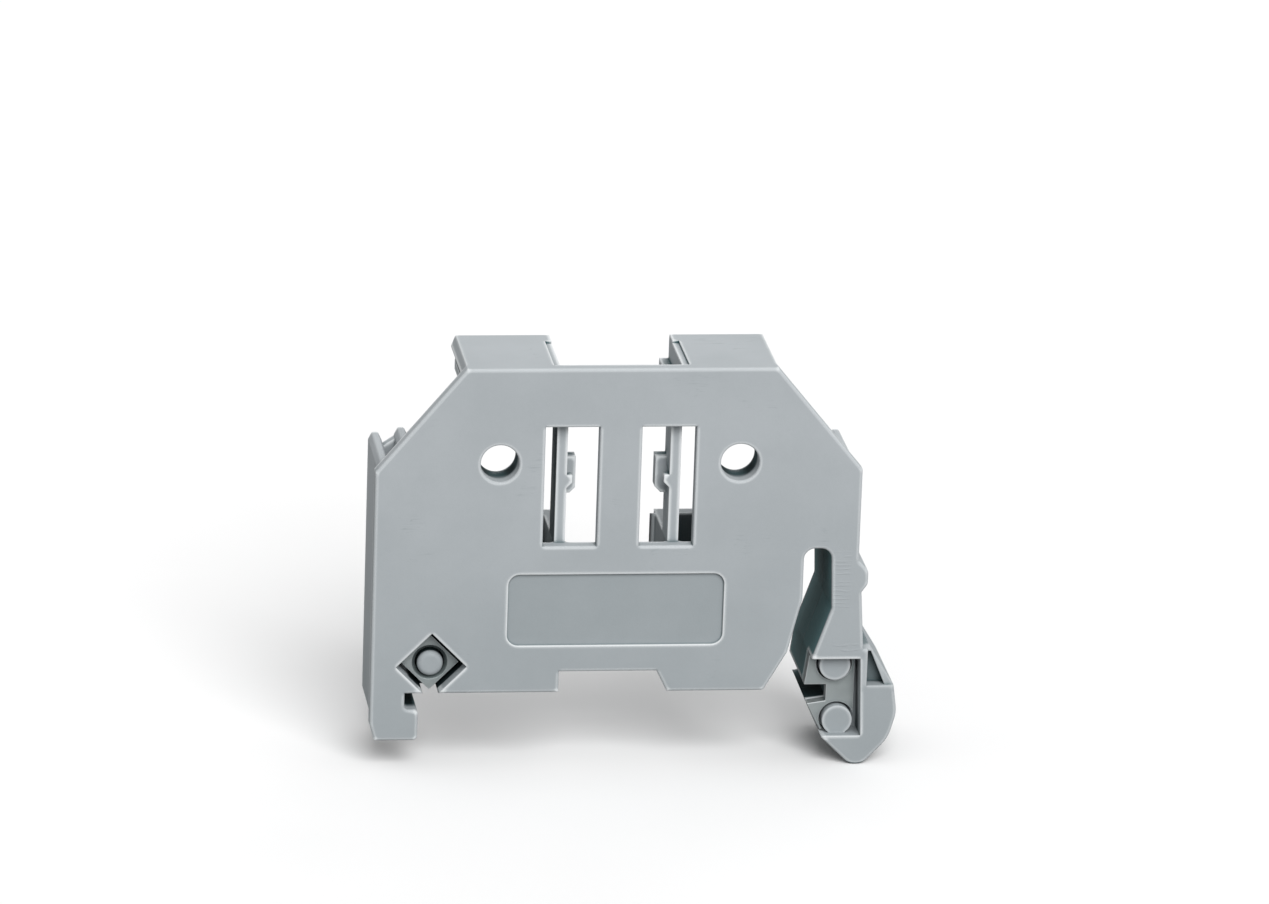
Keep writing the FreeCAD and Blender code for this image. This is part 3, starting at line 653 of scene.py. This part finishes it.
@dataclass(frozen=True)
class MouldedPlastic:
    """The grey polyamide of the moulding: spark-eroded grain, soft edges, scuffs and a seam, with painted
    shade and painted edge highlights.

    Reaches, radii and depths are in metres. Patches, levels and distances from the front are in millimetres.
    """

    name: str = "moulded_polyamide"

    # The plain grey, and how much of its tone comes from the grain.
    dark: Colour = (0.380, 0.410, 0.428)
    light: Colour = (0.424, 0.454, 0.474)
    patch_size: float = 9.0
    speckle: float = 0.35

    # The outer edges, painted pale as a highlight, except in the patches listed here.
    edge: Colour = (0.82, 0.85, 0.86)
    edge_radius: float = 0.2 * MM
    edge_highlight_width: float = 0.45 * MM
    unhighlighted: tuple[Patch, ...] = (
        Patch((-15.2, 1.6, 2.6), (3.1, 1.7, 2.8), 0.2, 0.5),
        Patch((18.6, 1.6, -0.9), (2.5, 1.7, 3.5), 0.2, 0.6),
        Patch((22.3, 1.0, 2.0), (1.6, 2.5, 2.4), 0.3, 0.7),
        *Patch.pair((10.9, 1.3, 15.2), (4.7, 0.35, 1.15), 0.1, 0.85),
    )

    # Painted shade in the corners, on the left side and darker towards the bottom; a darker grey on the
    # label panel, a dark line along the seam, and the scuffs.
    shade_and_marks: Colour = (0.15, 0.19, 0.20)
    crevice_shade_reach: float = 0.45 * MM
    crevice_shade_from: float = 0.84
    crevice_shade_to: float = 0.44
    shallow_crevice_shade: float = 0.35
    panel: Patch = Patch((0.0, 0.45, 7.2), (9.05, 0.3, 3.15), 0.08, 0.32)
    # Painted shade on the left side face.
    side: Patch = Patch((-20.2, 5.25, 7.0), (0.3, 4.9, 14.0), 0.15, 0.28)
    # Painted shade: darker towards the bottom.
    low_shade_top: float = 20.0
    low_shade_bottom: float = -6.6
    low_shade_share: float = 0.26
    scuffed: float = 0.12
    scuff_share: float = 0.3

    # Painted shade: dark teal in hollow places and near black in deep ones, which starts behind the front
    # plate.
    hollow_shade: Colour = (0.035, 0.08, 0.088)
    hollow_shade_from: float = 0.72
    hollow_shade_to: float = 0.44
    deep_shade: Colour = (0.003, 0.012, 0.014)
    deep_reach: float = 7.0 * MM
    deep_shade_from: float = 0.36
    deep_shade_to: float = 0.12
    deep_front: float = 0.8
    deep_back: float = 1.9

    # Shallow places kept free of painted shade, cells and bores painted dark as shade whatever they see, and
    # the arm's gap.
    shallow: tuple[Patch, ...] = (
        Patch((-15.2, 0.0, 2.6), (3.1, 3.0, 2.8), 0.3),
        Patch((18.6, 0.0, -0.9), (2.5, 3.0, 3.5), 0.3),
        *Patch.pair((18.5, 6.0, 18.0), (2.6, 6.0, 4.0), 0.3),
        *Patch.pair((3.8, 3.2, 18.0), (0.75, 0.6, 2.0), 0.2),
    )
    shaded: tuple[Patch, ...] = (
        Patch((9.85, 5.05, 6.0), (4.75, 3.95, 6.7), 0.3),
        Patch((-11.1, 5.05, 6.0), (6.0, 3.95, 6.7), 0.3),
        Patch((0.0, 5.05, 6.0), (4.5, 3.95, 6.7), 0.3, 0.4),
        *Patch.pair((9.95, 2.1, 19.88), (1.75, 1.0, 1.75), 0.5, 0.9),
        *Patch.pair((5.6, 3.1, 18.0), (0.7, 1.8, 5.6), 0.25, 0.6),
    )
    gap: tuple[Patch, ...] = (
        Patch((17.7, 5.0, 9.675), (1.1, 4.85, 2.975), 0.3),
        Patch((17.3, 5.0, 4.9), (1.5, 4.85, 2.4), 0.3),
        Patch((15.9, 5.0, 1.6), (1.5, 4.85, 1.7), 0.3),
    )
    # Painted shade in teal on the walls of the arm's gap.
    gap_shade_tint: Colour = (0.125, 0.245, 0.26)

    # The gloss, which is lost in dark places.
    roughness: float = 0.68
    roughness_spread: float = 0.07
    dull: float = 0.95
    refraction: float = 1.5
    gloss: float = 0.2

    # The relief: the grain, the bending lines at the arm's thin places, and the mould's seam in the gap.
    grains_per_mm: float = 7.0
    grain_depth: float = 0.009 * MM
    lines_per_mm: float = 2.7
    line_depth: float = 0.014 * MM
    flexed: tuple[Patch, ...] = (
        Patch((18.8, 0.0, 9.6), (1.0, 1.0, 2.7), 0.6),
        Patch((19.4, 0.0, 3.7), (1.3, 1.0, 0.7), 0.4),
    )
    seam: Patch = Patch((16.0, 5.2, 5.0), (2.5, 0.14, 9.0), 0.12, 0.8)
    seam_depth: float = 0.05 * MM

    def build(self, effects: SharedEffects) -> bpy.types.Material:
        """Makes the material.

        Args:
            effects: The shared node groups.

        Returns:
            The material.
        """
        coat = Coat.start(self.name, effects)
        graph, shader, place = coat.graph, coat.shader, coat.place
        edge = graph.effect(effects.soft_edge, Radius=self.edge_radius, Rub_width=self.edge_highlight_width)
        grain = graph.effect(effects.spark_grain, Place=place, Grains_per_mm=self.grains_per_mm)
        drift = graph.effect(effects.tone_drift, Place=place, Patch_size=self.patch_size)
        tone = graph.blend(self.speckle, drift.outputs["Tone"], grain.outputs["Tone"])
        colour, hidden = self.used(coat, graph.colour(tone, self.dark, self.light), edge.outputs["Mask"])
        graph.feed(shader.inputs["Base Color"], colour)
        bare = coat.roughness(grain.outputs["Tone"], self.roughness, self.roughness_spread)
        graph.feed(shader.inputs["Roughness"], graph.between(hidden, bare, self.dull))
        shader.inputs["IOR"].default_value = self.refraction
        shader.inputs["Specular IOR Level"].default_value = self.gloss
        graph.feed(shader.inputs["Normal"], self.relief(coat, edge, grain))
        return coat.material

    def used(self, coat: Coat, body: Socket, outer: Socket) -> tuple[Socket, Socket]:
        """Adds painted shade, the painted edge highlight, the panel's darker grey, the seam and the scuffs
        to the plastic's colour.

        Args:
            coat: The material in the making.
            body: The plain colour.
            outer: The mask of the outer edges.

        Returns:
            The colour for the shader, and the mask of the places that light hardly reaches.
        """
        graph = coat.graph
        _, from_front, level = graph.apart(coat.place)
        gap = coat.mask(*self.gap)
        bare = graph.strongest(gap, coat.mask(*self.shallow))
        behind = graph.ramp(from_front, self.deep_front, self.deep_back)
        closed = graph.maths(Maths.MULTIPLY, behind, graph.outside(bare))
        # Painted shade in hollow and deep places behind the front plate.
        hollow_shade = coat.sky(self.deep_reach, self.hollow_shade_from, self.hollow_shade_to)
        hollow_shade = graph.maths(Maths.MULTIPLY, hollow_shade, closed)
        deep_shade = graph.maths(Maths.MULTIPLY, coat.sky(self.deep_reach, self.deep_shade_from, self.deep_shade_to), closed)
        deep_shade = graph.strongest(deep_shade, coat.mask(*self.shaded))
        hidden = graph.strongest(hollow_shade, deep_shade)
        # Painted shade in the corners, weaker in the shallow places.
        shade_and_marks = graph.maths(Maths.MULTIPLY, coat.sky(self.crevice_shade_reach, self.crevice_shade_from, self.crevice_shade_to),
                           graph.between(bare, 1.0, self.shallow_crevice_shade))
        # Painted shade that grows darker towards the bottom.
        low_shade = graph.ramp(level, self.low_shade_top, self.low_shade_bottom, 0.0, self.low_shade_share)
        scuffs = graph.effect(coat.effects.scratches, Place=coat.place, Share=self.scuffed).outputs["Mask"]
        scuffs = graph.maths(Maths.MULTIPLY, scuffs, self.scuff_share)
        shade_and_marks_mask = graph.strongest(shade_and_marks, coat.mask(self.panel, self.side, self.seam), low_shade, scuffs)
        # The painted edge highlight is left off in painted shade and in the patches listed for it.
        highlighted = graph.outside(graph.strongest(hidden, shade_and_marks, coat.mask(*self.unhighlighted)))
        colour = body
        for mask, coloured in (
            (gap, self.gap_shade_tint),
            (shade_and_marks_mask, self.shade_and_marks),
            (hollow_shade, self.hollow_shade),
            (deep_shade, self.deep_shade),
            (graph.maths(Maths.MULTIPLY, outer, highlighted), self.edge),
        ):
            colour = graph.colour(mask, colour, coloured)
        return colour, hidden

    def relief(self, coat: Coat, edge: Node, grain: Node) -> Socket:
        """Adds the heights of the surface and gives its normal.

        Args:
            coat: The material in the making.
            edge: The soft edge effect.
            grain: The grain effect.

        Returns:
            The normal for the shader.
        """
        graph = coat.graph
        lines = graph.effect(coat.effects.flex_lines, Place=coat.place, Lines_per_mm=self.lines_per_mm)
        bent = graph.maths(Maths.MULTIPLY, lines.outputs["Height"], coat.mask(*self.flexed))
        normal = edge.outputs["Normal"]
        for height, depth in (
            (grain.outputs["Height"], self.grain_depth),
            (bent, self.line_depth),
            (coat.mask(self.seam), self.seam_depth),
        ):
            bump = graph.add("ShaderNodeBump", Height=height, Distance=depth, Normal=normal)
            normal = bump.outputs["Normal"]
        return normal


@dataclass(frozen=True)
class ZincPlate:
    """The satin zinc plating of the clamping plates: rolled grain, a slow drift, pale edges that are wear
    and painted highlight, and painted shade in the corners.

    Reaches, radii and depths are in metres.
    """

    name: str = "satin_zinc"
    dark: Colour = (0.325, 0.36, 0.362)
    light: Colour = (0.395, 0.43, 0.432)
    patch_size: float = 2.2
    speckle: float = 0.4
    # Pale edges, partly wear and partly painted highlight.
    edge: Colour = (0.57, 0.60, 0.605)
    edge_radius: float = 0.1 * MM
    edge_highlight_width: float = 0.14 * MM
    # Painted shade in the plate's closed-in corners.
    corner_shade: Colour = (0.09, 0.13, 0.135)
    corner_shade_reach: float = 0.9 * MM
    corner_shade_from: float = 0.95
    corner_shade_to: float = 0.45
    corner_shade_share: float = 0.7
    metal: float = 0.75
    roughness: float = 0.58
    roughness_spread: float = 0.06
    grain_stretch: Point = (1.4, 1.4, 11.0)
    grain_depth: float = 0.003 * MM

    def build(self, effects: SharedEffects) -> bpy.types.Material:
        """Makes the material.

        Args:
            effects: The shared node groups.

        Returns:
            The material.
        """
        coat = Coat.start(self.name, effects)
        graph, shader = coat.graph, coat.shader
        edge = graph.effect(effects.soft_edge, Radius=self.edge_radius, Rub_width=self.edge_highlight_width)
        drawn = graph.stretched(coat.place, self.grain_stretch)
        rolled = graph.effect(effects.spark_grain, Place=drawn, Grains_per_mm=1.0)
        drift = graph.effect(effects.tone_drift, Place=coat.place, Patch_size=self.patch_size)
        tone = graph.blend(self.speckle, drift.outputs["Tone"], rolled.outputs["Tone"])
        # Painted shade where the plate is closed in.
        corner_shaded = coat.sky(self.corner_shade_reach, self.corner_shade_from, self.corner_shade_to)
        corner_shaded = graph.maths(Maths.MULTIPLY, corner_shaded, self.corner_shade_share)
        body = graph.colour(corner_shaded, graph.colour(tone, self.dark, self.light), self.corner_shade)
        graph.feed(shader.inputs["Base Color"], graph.colour(edge.outputs["Mask"], body, self.edge))
        roughness = coat.roughness(rolled.outputs["Tone"], self.roughness, self.roughness_spread)
        graph.feed(shader.inputs["Roughness"], roughness)
        shader.inputs["Metallic"].default_value = self.metal
        bump = graph.add("ShaderNodeBump", Height=rolled.outputs["Height"], Distance=self.grain_depth,
                         Normal=edge.outputs["Normal"])
        graph.feed(shader.inputs["Normal"], bump.outputs["Normal"])
        return coat.material


@dataclass(frozen=True)
class PaperFloor:
    """The matt white paper that the end stop stands on.

    The camera sees it between dark and light, and its bounce is the tone that other surfaces see.
    """

    name: str = "white_paper"
    dark: Colour = (0.94, 0.94, 0.94)
    light: Colour = (0.97, 0.97, 0.97)
    bounce: Colour = (0.36, 0.36, 0.36)
    roughness: float = 0.9
    gloss: float = 0.0
    patch_size: float = 60.0

    def build(self, effects: SharedEffects) -> bpy.types.Material:
        """Makes the material.

        Args:
            effects: The shared node groups.

        Returns:
            The material.
        """
        coat = Coat.start(self.name, effects)
        graph, shader = coat.graph, coat.shader
        drift = graph.effect(effects.tone_drift, Place=coat.place, Patch_size=self.patch_size)
        seen = graph.tree.nodes.new("ShaderNodeLightPath").outputs["Is Camera Ray"]
        paper = graph.colour(drift.outputs["Tone"], self.dark, self.light)
        graph.feed(shader.inputs["Base Color"], graph.colour(seen, self.bounce, paper))
        shader.inputs["Roughness"].default_value = self.roughness
        shader.inputs["Specular IOR Level"].default_value = self.gloss
        return coat.material


def pick(piece: bpy.types.Object) -> None:
    """Selects one piece alone and makes it the active one.

    Args:
        piece: The piece.
    """
    bpy.ops.object.select_all(action="DESELECT")
    piece.select_set(True)
    bpy.context.view_layer.objects.active = piece


def dress(piece: bpy.types.Object, material: bpy.types.Material) -> None:
    """Gives a piece one finish all over.

    Args:
        piece: The piece.
        material: Its finish.
    """
    piece.data.materials.clear()
    piece.data.materials.append(material)
    for face in piece.data.polygons:
        face.material_index = 0


@contextmanager
def editing(piece: bpy.types.Object) -> Iterator[None]:
    """Opens a piece in edit mode with nothing selected, and closes it again.

    Args:
        piece: The piece.

    Yields:
        Nothing.
    """
    pick(piece)
    bpy.ops.object.mode_set(mode="EDIT")
    bpy.ops.mesh.select_all(action="DESELECT")
    try:
        yield
    finally:
        bpy.ops.object.mode_set(mode="OBJECT")


def select_faces(piece: bpy.types.Object, test: Callable[[bpy.types.MeshPolygon], bool]) -> None:
    """Selects the faces of the piece in edit mode that pass a test.

    Args:
        piece: The piece, which is in edit mode.
        test: Says of each face whether it is selected.
    """
    bpy.ops.object.mode_set(mode="OBJECT")
    for part in (piece.data.vertices, piece.data.edges):
        part.foreach_set("select", [False] * len(part))
    for face in piece.data.polygons:
        face.select = test(face)
    bpy.ops.object.mode_set(mode="EDIT")


def settle(piece: bpy.types.Object) -> None:
    """Puts a piece's place into its mesh, with its object at the origin.

    Args:
        piece: The piece.
    """
    pick(piece)
    bpy.ops.object.transform_apply(location=True, rotation=True, scale=True)


@dataclass
class EjectorMarks:
    """The round witness marks that the ejector pins leave on the back of the front plate, in metres.

    Each is a disc that stands proud of the plate's back and is sunk into it, dished inside its rim.
    """

    name: str = "ejector_marks"
    plate_back: float = 1.2 * MM
    radius: float = 0.9 * MM
    rim: float = 0.12 * MM
    proud: float = 0.05 * MM
    sunk: float = 0.1 * MM
    dish: float = 0.04 * MM
    segments: int = 32
    facing: float = 0.9
    smooth_angle: float = 30.0
    level: float = 15.2 * MM
    across: tuple[float, ...] = (-14.2 * MM, 14.2 * MM, -7.4 * MM, 7.4 * MM)

    def build_mark(self) -> bpy.types.Object:
        """Models the first mark as a thin dished disc.

        Returns:
            The mark.
        """
        depth = self.proud + self.sunk
        bpy.ops.object.select_all(action="DESELECT")
        bpy.ops.mesh.primitive_cylinder_add(
            vertices=self.segments,
            radius=self.radius,
            depth=depth,
            location=(self.across[0], self.plate_back + self.proud - depth / 2, self.level),
            rotation=(-math.pi / 2, 0.0, 0.0),
        )
        mark = bpy.context.active_object
        settle(mark)
        with editing(mark):
            select_faces(mark, lambda face: face.normal.y > self.facing)
            bpy.ops.mesh.inset(thickness=self.rim)
            bpy.ops.mesh.extrude_region_move(TRANSFORM_OT_translate={"value": (0.0, -self.dish, 0.0)})
        return mark

    def copy_mark(self, mark: bpy.types.Object, across: float) -> bpy.types.Object:
        """Copies the first mark, mesh and all, to another place on the same level.

        Args:
            mark: The first mark.
            across: The copy's X.

        Returns:
            The copy.
        """
        pick(mark)
        step = (across - self.across[0], 0.0, 0.0)
        bpy.ops.object.duplicate_move(TRANSFORM_OT_translate={"value": step})
        copy = bpy.context.active_object
        settle(copy)
        return copy

    def build(self, material: bpy.types.Material) -> bpy.types.Object:
        """Models one mark, copies it to the other places and joins them into one piece on the housing.

        Args:
            material: The housing's finish.

        Returns:
            The piece.
        """
        piece = self.build_mark()
        copies = [self.copy_mark(piece, across) for across in self.across[1:]]
        pick(piece)
        for copy in copies:
            copy.select_set(True)
        bpy.ops.object.join()
        piece.name = piece.data.name = self.name
        bpy.ops.object.shade_smooth_by_angle(angle=math.radians(self.smooth_angle))
        dress(piece, material)
        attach(piece, Body.HOUSING.value)
        return piece


@dataclass
class Housing:
    """The grey moulding, with the marks that its mould's ejector pins leave."""

    finish: MouldedPlastic = field(default_factory=MouldedPlastic)
    marks: EjectorMarks = field(default_factory=EjectorMarks)

    def build(self, nodes: dict[str, bpy.types.Object], effects: SharedEffects) -> list[bpy.types.Object]:
        """Dresses the moulding and models its ejector marks.

        Args:
            nodes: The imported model's nodes by name.
            effects: The shared node groups.

        Returns:
            The pieces.
        """
        material = self.finish.build(effects)
        moulding = nodes[CadNode.HOUSING.value]
        dress(moulding, material)
        return [moulding, self.marks.build(material)]


@dataclass
class ClampingPlates:
    """The two loose plates that rock on their pegs and bite on the rail."""

    finish: ZincPlate = field(default_factory=ZincPlate)

    def build(self, nodes: dict[str, bpy.types.Object], effects: SharedEffects) -> list[bpy.types.Object]:
        """Dresses both plates.

        Args:
            nodes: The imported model's nodes by name.
            effects: The shared node groups.

        Returns:
            The plates.
        """
        material = self.finish.build(effects)
        plates = [nodes[CadNode.LEFT_PLATE.value], nodes[CadNode.RIGHT_PLATE.value]]
        for plate in plates:
            dress(plate, material)
        return plates


@dataclass(frozen=True)
class Lamp:
    """A soft lamp far away, so that it lights the floor and the part evenly. Its spread is in degrees."""

    lobe: Lobe
    towards: Point
    level: float
    spread: float

    def place(self) -> None:
        """Adds the lamp, turned so that it shines from its side to the part."""
        data = bpy.data.lights.new(self.lobe.value, "SUN")
        data.energy = self.level
        data.angle = math.radians(self.spread)
        lamp = bpy.data.objects.new(self.lobe.value, data)
        lamp.rotation_mode = "QUATERNION"
        lamp.rotation_quaternion = Vector(self.towards).to_track_quat("Z", "Y")
        bpy.context.scene.collection.objects.link(lamp)


@dataclass
class Studio:
    """The white floor, the plain soft light and the camera.

    Angles are in degrees. The lens and the sensor are in millimetres, and other lengths are in metres.
    """

    floor_level: float = -6.62 * MM
    floor_half: float = 1.5
    floor_finish: PaperFloor = field(default_factory=PaperFloor)
    white: Colour = (0.98, 0.98, 0.98)
    ambient: float = 0.56
    lamps: tuple[Lamp, ...] = (
        Lamp(Lobe.KEY, (0.14, -0.75, 0.645), 2.35, 40.0),
        Lamp(Lobe.FILL, (0.35, 0.92, 0.16), 0.8, 60.0),
    )
    azimuth: float = -7.8
    elevation: float = 18.2
    roll: float = 2.0
    distance: float = 0.65
    lens: float = 223.5
    sensor: float = 36.0
    rise: float = 0.078
    clip: tuple[float, float] = (0.05, 10.0)
    target: Point = (1.4 * MM, 0.0, 12.3 * MM)

    def build(self, effects: SharedEffects) -> None:
        """Sets the floor, the world, the lamps, the camera and the view transform.

        Args:
            effects: The shared node groups.
        """
        self.add_floor(effects)
        self.add_world()
        for lamp in self.lamps:
            lamp.place()
        self.add_camera()
        bpy.context.scene.view_settings.view_transform = "Standard"

    def add_floor(self, effects: SharedEffects) -> None:
        """Lays the paper under the toe of the snap foot.

        Args:
            effects: The shared node groups.
        """
        bpy.ops.object.select_all(action="DESELECT")
        bpy.ops.mesh.primitive_plane_add(size=2.0 * self.floor_half, location=(0.0, 0.0, self.floor_level))
        floor = bpy.context.active_object
        floor.name = "paper_floor"
        settle(floor)
        dress(floor, self.floor_finish.build(effects))

    def add_world(self) -> None:
        """Makes a world that lights the part softly and shows white to the camera and in reflections."""
        world = bpy.data.worlds.new("white_tent")
        world.use_nodes = True
        graph = Graph(world.node_tree)
        tent = next(n for n in graph.tree.nodes if n.type == "BACKGROUND")
        path = graph.tree.nodes.new("ShaderNodeLightPath").outputs
        seen = graph.strongest(path["Is Camera Ray"], path["Is Glossy Ray"], path["Is Transmission Ray"])
        graph.feed(tent.inputs["Color"], self.white)
        graph.feed(tent.inputs["Strength"], graph.between(seen, self.ambient, 1.0))
        bpy.context.scene.world = world

    def add_camera(self) -> None:
        """Sets the camera at the angle that comes nearest to the photograph's oblique view."""
        side, up = math.radians(self.azimuth), math.radians(self.elevation)
        back = Vector((math.sin(side) * math.cos(up), -math.cos(side) * math.cos(up), math.sin(up)))
        data = bpy.data.cameras.new("camera")
        data.lens, data.sensor_width, data.shift_y = self.lens, self.sensor, self.rise
        data.clip_start, data.clip_end = self.clip
        camera = bpy.data.objects.new("camera", data)
        turn = (-back).to_track_quat("-Z", "Y").to_matrix().to_4x4()
        spin = Matrix.Rotation(math.radians(self.roll), 4, "Z")
        camera.matrix_world = Matrix.Translation(Vector(self.target) + back * self.distance) @ turn @ spin
        bpy.context.scene.collection.objects.link(camera)
        bpy.context.scene.camera = camera


def main() -> None:
    logging.basicConfig(level=logging.INFO, format="%(name)s: %(message)s")
    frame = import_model()
    effects = SharedEffects()
    for assembly in (Housing(), ClampingPlates()):
        for piece in assembly.build(frame["nodes"], effects):
            LOG.info("%s of %s: %d faces", piece.name, type(assembly).__name__, len(piece.data.polygons))
    Studio().build(effects)


if __name__ == "__main__":
    main()
